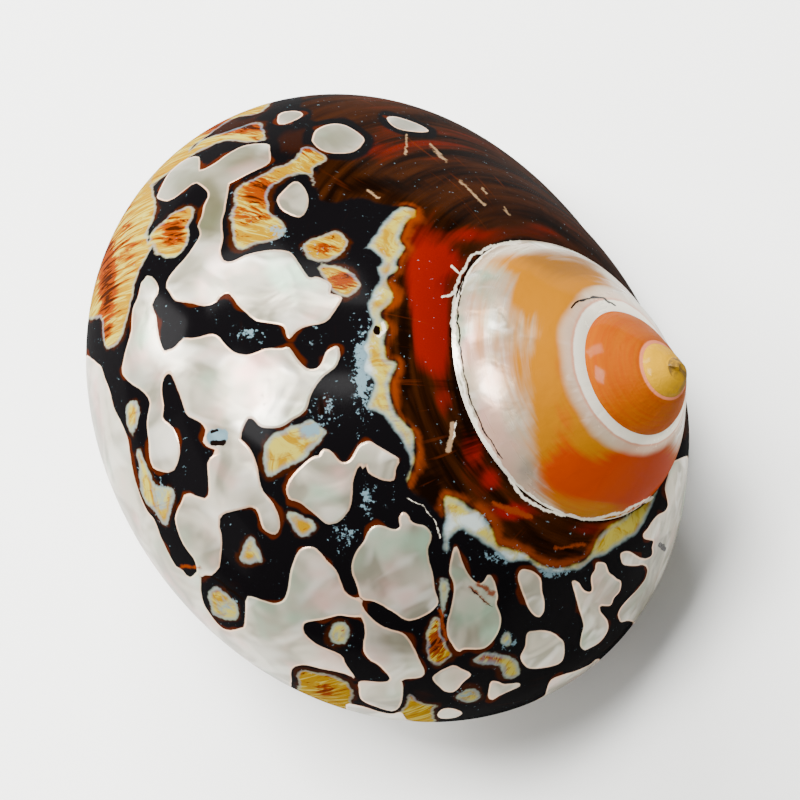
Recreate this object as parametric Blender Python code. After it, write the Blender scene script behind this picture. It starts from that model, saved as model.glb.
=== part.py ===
"""A polished turban shell, lying on its mouth.

The shell is one coiled, hollow tube. Its section is an egg-shaped loop that turns round the shell's axis and grows by
the same ratio each turn, so every whorl is a larger copy of the one before it. Coordinates with the axis upright are
called out (from the axis), up (from the tip of the spire, so it is negative) and turn (the angle grown, clockwise seen
from the tip). The finished solid is leant over until the rim of its mouth lies on the table, z = 0.
"""

import math

import bpy
import numpy as np
from mathutils import Matrix, Vector

# Driving dimensions in metres, where the last whorl passes turn 0.
WHORL_OUT = 0.02724
WHORL_UP = -0.06977
WHORL_HALF_WIDTH = 0.02980
WHORL_HALF_HEIGHT = 0.04055
WHORL_TILT = math.radians(-6.1)
WHORL_EGG = 0.114
SPIRE_HALF_ANGLE = math.radians(43.5)

# The tube: where it starts and ends, and how thick its walls are at turn 0. Towards the spire they thin more slowly
# than the tube narrows, by this power of its size.
MOUTH_TURN = 0.1
TURNS = 4.4
SPIRE_BULGE = 0.7
WALL = 0.0022
PARIETAL_WALL = 0.0012
WALL_THINS_AS = 0.35
COLUMELLA_RADIUS = 0.0026
PARIETAL_DIRECTION = math.radians(122.0)
CORNER_SHARPNESS = 14.0
HOLLOW_TURNS = 1.6
HOLLOW_PAST_MOUTH = 0.45

# How the shell lies: its own axis leans this far from upright, towards this heading, after this turn about itself.
AXIS_LEAN = math.radians(49.1)
AXIS_HEADING = math.radians(1.0)
OWN_SPIN = math.radians(28.9)

# How finely the surfaces are divided.
ROWS_PER_TURN = 48
STEPS_SUTURE_TO_SUTURE = 10
STEPS_BASE = 14
HOLLOW_ROWS_PER_TURN = 36
HOLLOW_STEPS = 22
HOLLOW_END_ROWS = 4

FULL_TURN = 2 * math.pi


def clear_scene():
    """Removes whatever the scene holds."""
    for item in list(bpy.data.objects):
        bpy.data.objects.remove(item)


def whorl_loop(around):
    """The whorl's section at turn 0: an ellipse whose radius swells three times on its way round, tilted a little."""
    swell = 1 + WHORL_EGG * np.cos(3 * around)
    across = WHORL_HALF_WIDTH * np.cos(around) * swell
    along = WHORL_HALF_HEIGHT * np.sin(around) * swell
    out = WHORL_OUT + across * math.cos(WHORL_TILT) - along * math.sin(WHORL_TILT)
    up = WHORL_UP + across * math.sin(WHORL_TILT) + along * math.cos(WHORL_TILT)
    return out, up


def zero_between(function, low, high):
    """The angle between low and high where the function changes sign, found by halving."""
    low_sign = np.sign(function(low))
    for _ in range(60):
        middle = (low + high) / 2
        if np.sign(function(middle)) == low_sign:
            low = middle
        else:
            high = middle
    return (low + high) / 2


def above_suture_cone(around):
    """How far the section's loop stands above the cone that all the sutures lie on."""
    out, up = whorl_loop(around)
    return up + out / math.tan(SPIRE_HALF_ANGLE)


def axis_side(around):
    """The loop's distance from the shell's axis."""
    return whorl_loop(around)[0]


UPPER_SUTURE = zero_between(above_suture_cone, math.radians(60), math.radians(200))
LOWER_SUTURE = zero_between(above_suture_cone, math.radians(-60), math.radians(60))
BASE_END = zero_between(axis_side, math.radians(-90), math.radians(-180))
GROWTH_PER_TURN = axis_side(LOWER_SUTURE) / axis_side(UPPER_SUTURE)
GROWTH = math.log(GROWTH_PER_TURN) / FULL_TURN


def placed(out, up, turn):
    """Points of a section, grown to their turn and swung round the axis."""
    size = np.exp(GROWTH * turn)
    return np.stack([size * out * np.cos(turn), -size * out * np.sin(turn), size * up + 0 * turn], axis=-1)


def outer_rows():
    """The outside in rows, one for each step of growth: suture to suture, then on over the base to the axis.

    Older whorls bulge less between their sutures, since the spire is worn and polished down.
    """
    count = round(TURNS * ROWS_PER_TURN)
    turn = MOUTH_TURN + (np.arange(count + 1)[:, None] - count) * FULL_TURN / ROWS_PER_TURN
    side = np.linspace(UPPER_SUTURE, LOWER_SUTURE, STEPS_SUTURE_TO_SUTURE + 1)[None]
    share = np.linspace(0, 1, STEPS_SUTURE_TO_SUTURE + 1)[None]
    out, up = whorl_loop(side)
    flat_out = out[:, :1] + share * (out[:, -1:] - out[:, :1])
    flat_up = up[:, :1] + share * (up[:, -1:] - up[:, :1])
    age = np.clip((MOUTH_TURN - FULL_TURN - turn) / FULL_TURN, 0, 1)
    bulge = 1 - (1 - SPIRE_BULGE) * age
    whorls = placed(flat_out + (out - flat_out) * bulge, flat_up + (up - flat_up) * bulge, turn)
    under = np.linspace(LOWER_SUTURE, BASE_END, STEPS_BASE + 1)[None, 1:]
    out, up = whorl_loop(under)
    out[:, -1] = 0
    base = placed(out, up, turn[count - ROWS_PER_TURN :])
    return whorls, base


def outer_mesh():
    """The solid inside the outer surface, closed by a fan at the tip and a flat face across the mouth."""
    whorls, base = outer_rows()
    rows, steps = whorls.shape[0], whorls.shape[1] - 1
    last_turn = rows - 1 - ROWS_PER_TURN
    points = []
    number = np.zeros((rows, steps + 1 + base.shape[1]), int)

    def add(point):
        points.append(tuple(point))
        return len(points) - 1

    for row in reversed(range(rows)):
        for step in range(steps):
            number[row, step] = add(whorls[row, step])
        meets_next = row + ROWS_PER_TURN < rows
        number[row, steps] = number[row + ROWS_PER_TURN, 0] if meets_next else add(whorls[row, steps])
        if row >= last_turn:
            for step in range(base.shape[1]):
                number[row, steps + 1 + step] = add(base[row - last_turn, step])
    faces = []
    for row in range(rows - 1):
        width = number.shape[1] if row >= last_turn else steps + 1
        for step in range(width - 1):
            a, b = number[row, step], number[row, step + 1]
            c, d = number[row + 1, step + 1], number[row + 1, step]
            faces.append((d, c, b, a))
    mouth = list(number[rows - 1])
    mouth += [number[row, -1] for row in range(rows - 2, last_turn - 1, -1)]
    mouth += list(number[last_turn, -2:steps:-1])
    faces.append(tuple(mouth[::-1]))
    tip_ring = [number[row, 0] for row in range(ROWS_PER_TURN + 1)]
    tip_ring += list(number[0, steps - 1 : 0 : -1])
    tip = add(np.mean([points[index] for index in tip_ring], axis=0))
    for here, following in zip(tip_ring, tip_ring[1:] + tip_ring[:1]):
        faces.append((following, here, tip))
    return points, faces


def hollow_loop(around, turn):
    """The hollow's section, scaled to turn 0, as a distance from its middle in each direction.

    It keeps a wall's thickness inside the whorl's loop, clear of the whorl above it, and outside the solid pillar
    along the axis. The nearest of the three holds, with its corners rounded over.
    """
    loop = np.linspace(0, FULL_TURN, 721)[:-1]
    out, up = whorl_loop(loop)
    bearing = np.arctan2(up - WHORL_UP, out - WHORL_OUT)
    order = np.argsort(bearing)
    whorl_wall = np.interp(around, bearing[order], np.hypot(out - WHORL_OUT, up - WHORL_UP)[order], period=FULL_TURN)
    across, along = math.cos(PARIETAL_DIRECTION), math.sin(PARIETAL_DIRECTION)
    whorl_above = np.min(across * out + along * up) / GROWTH_PER_TURN
    thickening = np.exp(GROWTH * turn * (WALL_THINS_AS - 1))
    to_above = whorl_above - PARIETAL_WALL * thickening - (across * WHORL_OUT + along * WHORL_UP)
    facing_above = np.maximum(np.cos(around - PARIETAL_DIRECTION), 1e-3)
    facing_axis = np.maximum(-np.cos(around), 1e-3)
    limits = [whorl_wall - WALL * thickening, to_above / facing_above, (WHORL_OUT - COLUMELLA_RADIUS) / facing_axis]
    return sum(limit**-CORNER_SHARPNESS for limit in limits) ** (-1 / CORNER_SHARPNESS)


def hollow_mesh():
    """The space inside the tube, from its rounded end deep in the spire to a little past the mouth."""
    count = round(HOLLOW_TURNS * HOLLOW_ROWS_PER_TURN)
    turn = MOUTH_TURN + HOLLOW_PAST_MOUTH + (np.arange(count + 1)[:, None] - count) * FULL_TURN / HOLLOW_ROWS_PER_TURN
    around = np.arange(HOLLOW_STEPS)[None] * FULL_TURN / HOLLOW_STEPS
    closing = np.clip((np.arange(count + 1)[:, None] + 0.6) / HOLLOW_END_ROWS, 0, 1)
    reach = hollow_loop(around, turn) * np.sqrt(1 - (1 - closing) ** 2)
    rings = placed(WHORL_OUT + reach * np.cos(around), WHORL_UP + reach * np.sin(around), turn)
    points = [tuple(point) for point in rings.reshape(-1, 3)]
    faces = [tuple(range(HOLLOW_STEPS))[::-1]]
    for row in range(count):
        for step in range(HOLLOW_STEPS):
            following = (step + 1) % HOLLOW_STEPS
            first, second = row * HOLLOW_STEPS, (row + 1) * HOLLOW_STEPS
            faces.append((first + step, first + following, second + following, second + step))
    faces.append(tuple(count * HOLLOW_STEPS + step for step in range(HOLLOW_STEPS)))
    return points, faces


def lean():
    """The turn that lays the upright shell down on its mouth."""
    heading = Matrix.Rotation(AXIS_HEADING, 4, "Z")
    tip_over = Matrix.Rotation(AXIS_LEAN, 4, "Y")
    return heading @ tip_over @ Matrix.Rotation(OWN_SPIN, 4, "Z")


def lowest_behind_mouth(turned):
    """The lowest point of the last whorl's belly, the side that touches the table beside the mouth."""
    base = outer_rows()[1]
    whorls = outer_rows()[0][-base.shape[0] :]
    belly = np.concatenate([whorls, base], axis=1)[3 : round(0.62 * ROWS_PER_TURN)]
    rotation = np.array(turned.to_3x3())
    return float((belly @ rotation.T)[..., 2].min())


def shell_material():
    """Polished shell, between its black bands and its pearl."""
    material = bpy.data.materials.new("polished_shell")
    material.use_nodes = True
    finish = material.node_tree.nodes["Principled BSDF"]
    finish.inputs["Base Color"].default_value = (0.36, 0.27, 0.19, 1)
    finish.inputs["Roughness"].default_value = 0.18
    finish.inputs["Metallic"].default_value = 0.0
    return material


def new_object(name, points, faces):
    """A mesh object from points and faces, with its faces turned outwards."""
    mesh = bpy.data.meshes.new(name)
    mesh.from_pydata(points, [], faces)
    mesh.update()
    item = bpy.data.objects.new(name, mesh)
    bpy.context.scene.collection.objects.link(item)
    return item


def hide_cutter(item):
    """A cutter shows as wires only."""
    item.hide_render = True
    item.display_type = "WIRE"


def cut(item, cutter, name):
    """Takes the cutter's solid away from the item's."""
    modifier = item.modifiers.new(name, "BOOLEAN")
    modifier.operation = "DIFFERENCE"
    modifier.solver = "EXACT"
    modifier.object = cutter


def table_box():
    """Everything below the table."""
    reach = 0.2
    depth = 0.1
    corners = [(x, y, z) for x in (-reach, reach) for y in (-reach, reach) for z in (-depth, 0)]
    sides = [(0, 1, 3, 2), (4, 6, 7, 5), (0, 4, 5, 1), (2, 3, 7, 6), (0, 2, 6, 4), (1, 5, 7, 3)]
    return new_object("below_table", corners, sides)


def footprint_middle(item):
    """The middle of the finished solid's box, seen from above."""
    bpy.context.view_layer.update()
    finished = item.evaluated_get(bpy.context.evaluated_depsgraph_get())
    mesh = finished.to_mesh()
    points = [finished.matrix_world @ vertex.co for vertex in mesh.vertices]
    middle = [(min(point[k] for point in points) + max(point[k] for point in points)) / 2 for k in (0, 1)]
    finished.to_mesh_clear()
    return Vector((middle[0], middle[1], 0))


clear_scene()
turned = lean()
shell = new_object("shell", *outer_mesh())
hollow = new_object("hollow", *hollow_mesh())
below_table = table_box()
height = Matrix.Translation((0, 0, -lowest_behind_mouth(turned)))
for item in (shell, hollow):
    item.matrix_world = height @ turned
for cutter in (hollow, below_table):
    hide_cutter(cutter)
cut(shell, below_table, "flat rim")
cut(shell, hollow, "hollow tube")
middle = footprint_middle(shell)
for item in (shell, hollow, below_table):
    item.location -= middle
shell.data.materials.append(shell_material())
shell.data.shade_smooth()
shell.data.set_sharp_from_angle(angle=math.radians(40))
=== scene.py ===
import math

import bpy
import numpy as np
from mathutils import Euler, Matrix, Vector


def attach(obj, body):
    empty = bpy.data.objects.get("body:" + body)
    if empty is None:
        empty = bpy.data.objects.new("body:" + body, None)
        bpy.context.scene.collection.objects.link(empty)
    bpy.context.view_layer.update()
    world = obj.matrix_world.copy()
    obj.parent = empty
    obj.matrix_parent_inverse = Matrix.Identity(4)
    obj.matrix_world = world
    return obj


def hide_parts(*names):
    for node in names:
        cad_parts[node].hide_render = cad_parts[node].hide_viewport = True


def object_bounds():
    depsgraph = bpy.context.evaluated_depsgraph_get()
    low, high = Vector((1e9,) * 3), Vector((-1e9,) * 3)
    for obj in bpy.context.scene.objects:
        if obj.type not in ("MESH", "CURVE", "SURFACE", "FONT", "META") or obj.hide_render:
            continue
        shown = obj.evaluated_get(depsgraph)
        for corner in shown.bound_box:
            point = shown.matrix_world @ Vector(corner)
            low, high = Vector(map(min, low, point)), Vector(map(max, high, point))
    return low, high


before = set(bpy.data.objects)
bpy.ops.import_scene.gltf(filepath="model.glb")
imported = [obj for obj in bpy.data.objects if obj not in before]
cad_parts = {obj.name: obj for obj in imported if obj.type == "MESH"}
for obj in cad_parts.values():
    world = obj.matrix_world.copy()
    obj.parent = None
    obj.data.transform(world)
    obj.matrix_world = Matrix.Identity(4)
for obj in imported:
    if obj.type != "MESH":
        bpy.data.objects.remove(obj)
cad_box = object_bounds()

# The camera looks down on the shell from above its belly, a long lens held a little askew, as the photograph
# was taken. Picture points below are points of that 800 by 800 picture, from its upper left corner.
PICTURE = 800
CAMERA_PLACE = np.array([0.04855, -0.11118, 0.32261])
CAMERA_TURN = [math.radians(angle) for angle in (19.983, 7.961, 2.873)]
LENS, SENSOR = 117.0, 36.0

camera = bpy.data.objects.new("camera", bpy.data.cameras.new("camera"))
camera.data.lens, camera.data.sensor_width = LENS, SENSOR
camera.data.clip_start, camera.data.clip_end = 0.01, 10
camera.location = CAMERA_PLACE
camera.rotation_euler = CAMERA_TURN
bpy.context.scene.collection.objects.link(camera)
bpy.context.scene.camera = camera
CAMERA_AXES = np.array(Euler(CAMERA_TURN).to_matrix())
FOCUS = LENS / SENSOR * PICTURE


def in_picture(points):
    """Picture points: across and down from the middle by focus times offset over depth. Also the depth."""
    offset = (points - CAMERA_PLACE) @ CAMERA_AXES
    depth = -offset[:, 2]
    across, down = FOCUS * offset[:, 0] / depth, -FOCUS * offset[:, 1] / depth
    return PICTURE / 2 + np.stack([across, down], axis=1), depth


# The shell: one coiled, hollow tube of mother-of-pearl under a dark outer layer, grown from the tip of the
# spire to the mouth. It has been ground and polished until pearl shows in patches, and it lies on its mouth.
WHORL_OUT, WHORL_UP = 0.02724, -0.06977
WHORL_HALF_WIDTH, WHORL_HALF_HEIGHT = 0.02980, 0.04055
WHORL_TILT, WHORL_EGG = math.radians(-6.1), 0.114
SPIRE_HALF_ANGLE = math.radians(43.5)
MOUTH_TURN, TURNS, SPIRE_BULGE = 0.1, 4.4, 0.7
WALL, PARIETAL_WALL, WALL_THINS_AS = 0.0022, 0.0012, 0.35
COLUMELLA_RADIUS, PARIETAL_DIRECTION, CORNER_SHARPNESS = 0.0026, math.radians(122.0), 14.0
HOLLOW_TURNS, HOLLOW_PAST_MOUTH = 1.6, 0.45
LEAN = Euler((0, 0, math.radians(28.9))).to_matrix()
LEAN.rotate(Euler((0, math.radians(49.1), math.radians(1.0))))
SHELL_PLACE = np.array([0.037478, -0.008395, 0.047342])
ROWS_PER_TURN = 400
STRIP_STEPS = [80, 40, 20, 10]
BASE_STEPS = 88
HOLLOW_ROWS_PER_TURN, HOLLOW_STEPS, HOLLOW_END_ROWS = 96, 60, 12
FULL_TURN = 2 * math.pi


def whorl_loop(around):
    """The whorl's section at turn 0: a tilted ellipse whose radius swells as 1 + egg times cos(3 around)."""
    swell = 1 + WHORL_EGG * np.cos(3 * around)
    across = WHORL_HALF_WIDTH * np.cos(around) * swell
    along = WHORL_HALF_HEIGHT * np.sin(around) * swell
    out = WHORL_OUT + across * math.cos(WHORL_TILT) - along * math.sin(WHORL_TILT)
    up = WHORL_UP + across * math.sin(WHORL_TILT) + along * math.cos(WHORL_TILT)
    return out, up


def zero_between(function, low, high):
    """The angle between low and high where the function changes sign, found by halving."""
    low_sign = np.sign(function(low))
    for _ in range(60):
        middle = (low + high) / 2
        low, high = (middle, high) if np.sign(function(middle)) == low_sign else (low, middle)
    return (low + high) / 2


def above_suture_cone(around):
    """Height of the loop over the sutures' cone: up plus out over the tangent of the spire's half angle."""
    out, up = whorl_loop(around)
    return up + out / math.tan(SPIRE_HALF_ANGLE)


UPPER_SUTURE = zero_between(above_suture_cone, math.radians(60), math.radians(200))
LOWER_SUTURE = zero_between(above_suture_cone, math.radians(-60), math.radians(60))
BASE_END = zero_between(lambda around: whorl_loop(around)[0], math.radians(-90), math.radians(-180))
GROWTH_PER_TURN = whorl_loop(LOWER_SUTURE)[0] / whorl_loop(UPPER_SUTURE)[0]
GROWTH = math.log(GROWTH_PER_TURN) / FULL_TURN


def placed(out, up, turn):
    """Points of a section: size e^(growth turn), times out swung clockwise by turn, and times up."""
    size = np.exp(GROWTH * turn)
    return np.stack([size * out * np.cos(turn), -size * out * np.sin(turn), size * up + 0 * turn], axis=-1)


def whorl_rows(turn, steps):
    """Rows from suture to suture: the loop, drawn by age towards the straight line between its sutures."""
    side = np.linspace(UPPER_SUTURE, LOWER_SUTURE, steps + 1)[None]
    share = np.linspace(0, 1, steps + 1)[None]
    out, up = whorl_loop(side)
    flat_out = out[:, :1] + share * (out[:, -1:] - out[:, :1])
    flat_up = up[:, :1] + share * (up[:, -1:] - up[:, :1])
    age = np.clip((MOUTH_TURN - FULL_TURN - turn) / FULL_TURN, 0, 1)
    bulge = 1 - (1 - SPIRE_BULGE) * age
    return placed(flat_out + (out - flat_out) * bulge, flat_up + (up - flat_up) * bulge, turn)


def base_rows(turn):
    """Rows from the lower suture under the shell to the axis, where out is nought."""
    out, up = whorl_loop(np.linspace(LOWER_SUTURE, BASE_END, BASE_STEPS + 1)[None, 1:])
    out[:, -1] = 0
    return placed(out, up, turn)


def outside_mesh():
    """The outer surface as points, faces, and each face corner's place: turn, and side.

    Side runs 0 to 1 from upper to lower suture and on to 2 at the axis. A whorl's lower edge is the next
    one's upper edge, one turn on, so the two share their points. Each larger whorl has twice the columns.
    """
    rows = round(TURNS * ROWS_PER_TURN)
    turns = MOUTH_TURN + (np.arange(rows + 1) - rows) * FULL_TURN / ROWS_PER_TURN
    starts = [rows - ROWS_PER_TURN, rows - 2 * ROWS_PER_TURN, rows - 3 * ROWS_PER_TURN, 0]
    ends = [rows + 1] + starts[:3]
    points, numbers, sides = [], [], []
    upper = np.zeros(rows + 1, int)
    used = 0
    for start, end, steps in zip(starts, ends, STRIP_STEPS):
        turn = turns[start:end, None]
        grid = whorl_rows(turn, steps)
        side = np.linspace(0, 1, steps + 1)
        if start == starts[0]:
            grid = np.concatenate([grid, base_rows(turn)], axis=1)
            side = np.concatenate([side, np.linspace(1, 2, BASE_STEPS + 1)[1:]])
        number = used + np.arange(grid.shape[0] * grid.shape[1]).reshape(grid.shape[:2])
        used += number.size
        upper[start:end] = number[:, 0]
        points.append(grid.reshape(-1, 3))
        numbers.append(number)
        sides.append(side)
    numbers[0][0, STRIP_STEPS[0]] = upper[rows]
    for strip in (1, 2, 3):
        numbers[strip][:, -1] = upper[starts[strip] + ROWS_PER_TURN : ends[strip] + ROWS_PER_TURN]
    faces, places = [], []

    def corner_places(turn, side, shape):
        """Turn and side, each spread over the shape of the grid, as pairs."""
        return np.stack([np.broadcast_to(turn, shape), np.broadcast_to(side, shape)], axis=-1)

    for strip in range(4):
        number, side, turn = numbers[strip], sides[strip], turns[starts[strip] : ends[strip]]
        shape = (number.shape[0] - 1, number.shape[1] - 1)
        quads = np.stack([number[1:, :-1], number[1:, 1:], number[:-1, 1:], number[:-1, :-1]], axis=-1)
        place = [
            corner_places(turn[1:, None], side[None, :-1], shape),
            corner_places(turn[1:, None], side[None, 1:], shape),
            corner_places(turn[:-1, None], side[None, 1:], shape),
            corner_places(turn[:-1, None], side[None, :-1], shape),
        ]
        faces += quads.reshape(-1, 4).tolist()
        places.append(np.stack(place, axis=2).reshape(-1, 2))
        if strip == 3:
            break
        coarse, fine = numbers[strip + 1][-1], number[0]
        steps = STRIP_STEPS[strip + 1]
        if strip == 0:
            fine = np.concatenate([fine[: STRIP_STEPS[0]], [upper[rows]]])
        here, before = turns[starts[strip]], turns[starts[strip] - 1]
        edges = zip(fine[:-2:2], fine[1:-1:2], fine[2::2], coarse[:-1], coarse[1:])
        for low, middle, high, near, far in edges:
            faces += [[low, middle, near], [middle, high, far], [middle, far, near]]
        low = np.arange(steps) / steps
        half, high = low + 0.5 / steps, low + 1 / steps
        ways = [(here, low), (here, half), (before, low), (here, half), (here, high), (before, high)]
        ways += [(here, half), (before, high), (before, low)]
        places.append(np.stack([corner_places(t, s, (steps,)) for t, s in ways], axis=1).reshape(-1, 2))
    last = numbers[0]
    rim = [*last[-1], *last[-2::-1, -1], *last[0, -2 : STRIP_STEPS[0] : -1]]
    faces.append([int(number) for number in rim[::-1]])
    places.append(np.full((len(rim), 2), -1.0))
    first_steps = STRIP_STEPS[3]
    ring = [int(number) for number in [*upper[: ROWS_PER_TURN + 1], *numbers[3][0, first_steps - 1 : 0 : -1]]]
    points = np.concatenate(points)
    tip = len(points)
    points = np.concatenate([points, points[ring].mean(axis=0)[None]])
    faces += [[after, here, tip] for here, after in zip(ring, ring[1:] + ring[:1])]
    places.append(np.tile([[turns[0], 0.0]], (3 * len(ring), 1)))
    return points, faces, np.concatenate(places)


def hollow_loop(around, turn):
    """The hollow's reach each way: the nearest of whorl wall, whorl above and pillar, with rounded corners.

    They join as the sum of each limit to the power -sharpness, then to the power -1 over sharpness.
    """
    out, up = whorl_loop(np.linspace(0, FULL_TURN, 721)[:-1])
    bearing = np.arctan2(up - WHORL_UP, out - WHORL_OUT)
    order = np.argsort(bearing)
    reach = np.hypot(out - WHORL_OUT, up - WHORL_UP)
    whorl_wall = np.interp(around, bearing[order], reach[order], period=FULL_TURN)
    across, along = math.cos(PARIETAL_DIRECTION), math.sin(PARIETAL_DIRECTION)
    thickening = np.exp(GROWTH * turn * (WALL_THINS_AS - 1))
    to_above = np.min(across * out + along * up) / GROWTH_PER_TURN - (across * WHORL_OUT + along * WHORL_UP)
    facing_above = np.maximum(np.cos(around - PARIETAL_DIRECTION), 1e-3)
    facing_axis = np.maximum(-np.cos(around), 1e-3)
    limits = [whorl_wall - WALL * thickening, (to_above - PARIETAL_WALL * thickening) / facing_above]
    limits.append((WHORL_OUT - COLUMELLA_RADIUS) / facing_axis)
    return sum(limit**-CORNER_SHARPNESS for limit in limits) ** (-1 / CORNER_SHARPNESS)


def hollow_mesh():
    """The tube's space: rings of the hollow's loop, from a rounded end in the spire to past the mouth."""
    count = round(HOLLOW_TURNS * HOLLOW_ROWS_PER_TURN)
    row = np.arange(count + 1)[:, None]
    turn = MOUTH_TURN + HOLLOW_PAST_MOUTH + (row - count) * FULL_TURN / HOLLOW_ROWS_PER_TURN
    around = np.arange(HOLLOW_STEPS)[None] * FULL_TURN / HOLLOW_STEPS
    closing = np.clip((row + 0.6) / HOLLOW_END_ROWS, 0, 1)
    reach = hollow_loop(around, turn) * np.sqrt(1 - (1 - closing) ** 2)
    rings = placed(WHORL_OUT + reach * np.cos(around), WHORL_UP + reach * np.sin(around), turn)
    number = np.arange(rings.shape[0] * HOLLOW_STEPS).reshape(-1, HOLLOW_STEPS)
    after = np.roll(number, -1, axis=1)
    quads = np.stack([number[:-1], after[:-1], after[1:], number[1:]], axis=-1)
    faces = quads.reshape(-1, 4).tolist() + [number[0, ::-1].tolist(), number[-1].tolist()]
    places = np.full((sum(len(face) for face in faces), 2), 10.0)
    return rings.reshape(-1, 3), faces, places


def cutting_object(name, points, faces, places):
    """A mesh object whose map named growth carries each corner's place."""
    mesh = bpy.data.meshes.new(name)
    mesh.from_pydata(points.tolist(), [], faces)
    growth = mesh.uv_layers.new(name="growth")
    growth.data.foreach_set("uv", np.asarray(places, np.float32).ravel())
    item = bpy.data.objects.new(name, mesh)
    bpy.context.scene.collection.objects.link(item)
    return item


def laid_down(points):
    """Shell points in the world: leant over onto the mouth, then moved to the shell's place."""
    return points @ np.array(LEAN).T + SHELL_PLACE


def cut_shell():
    """The outside less the space below the table, less the hollow, as one mesh with its corner places."""
    points, faces, places = outside_mesh()
    body = cutting_object("shell_body", laid_down(points), faces, places)
    points, faces, places = hollow_mesh()
    hollow = cutting_object("shell_hollow", laid_down(points), faces, places)
    corners = np.array([(x, y, z) for x in (-0.2, 0.2) for y in (-0.2, 0.2) for z in (-0.1, 0)])
    sides = [(0, 1, 3, 2), (4, 6, 7, 5), (0, 4, 5, 1), (2, 3, 7, 6), (0, 2, 6, 4), (1, 5, 7, 3)]
    table = cutting_object("shell_table", corners, sides, np.full((24, 2), -1.0))
    for cutter in (table, hollow):
        cut = body.modifiers.new(cutter.name, "BOOLEAN")
        cut.operation, cut.solver, cut.object = "DIFFERENCE", "EXACT", cutter
    bpy.context.view_layer.update()
    whole = bpy.data.meshes.new_from_object(body.evaluated_get(bpy.context.evaluated_depsgraph_get()))
    for item in (body, hollow, table):
        bpy.data.meshes.remove(item.data)
    return whole


shell_mesh = cut_shell()
shell_mesh.name = "turban_shell"

# The fine surface bulges a hair past the plainer solid, so it is drawn in to the solid's own box.
points = np.empty(len(shell_mesh.vertices) * 3)
shell_mesh.vertices.foreach_get("co", points)
points = points.reshape(-1, 3)
low, high = np.array(cad_box[0]), np.array(cad_box[1])
points_low, points_high = points.min(axis=0), points.max(axis=0)
points = low + (points - points_low) * (high - low) / (points_high - points_low)
shell_mesh.vertices.foreach_set("co", points.ravel())
shell_mesh.update()
shell = bpy.data.objects.new("turban_shell", shell_mesh)
bpy.context.scene.collection.objects.link(shell)
shell_mesh.shade_smooth()
shell_mesh.set_sharp_from_angle(angle=math.radians(40))

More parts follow.
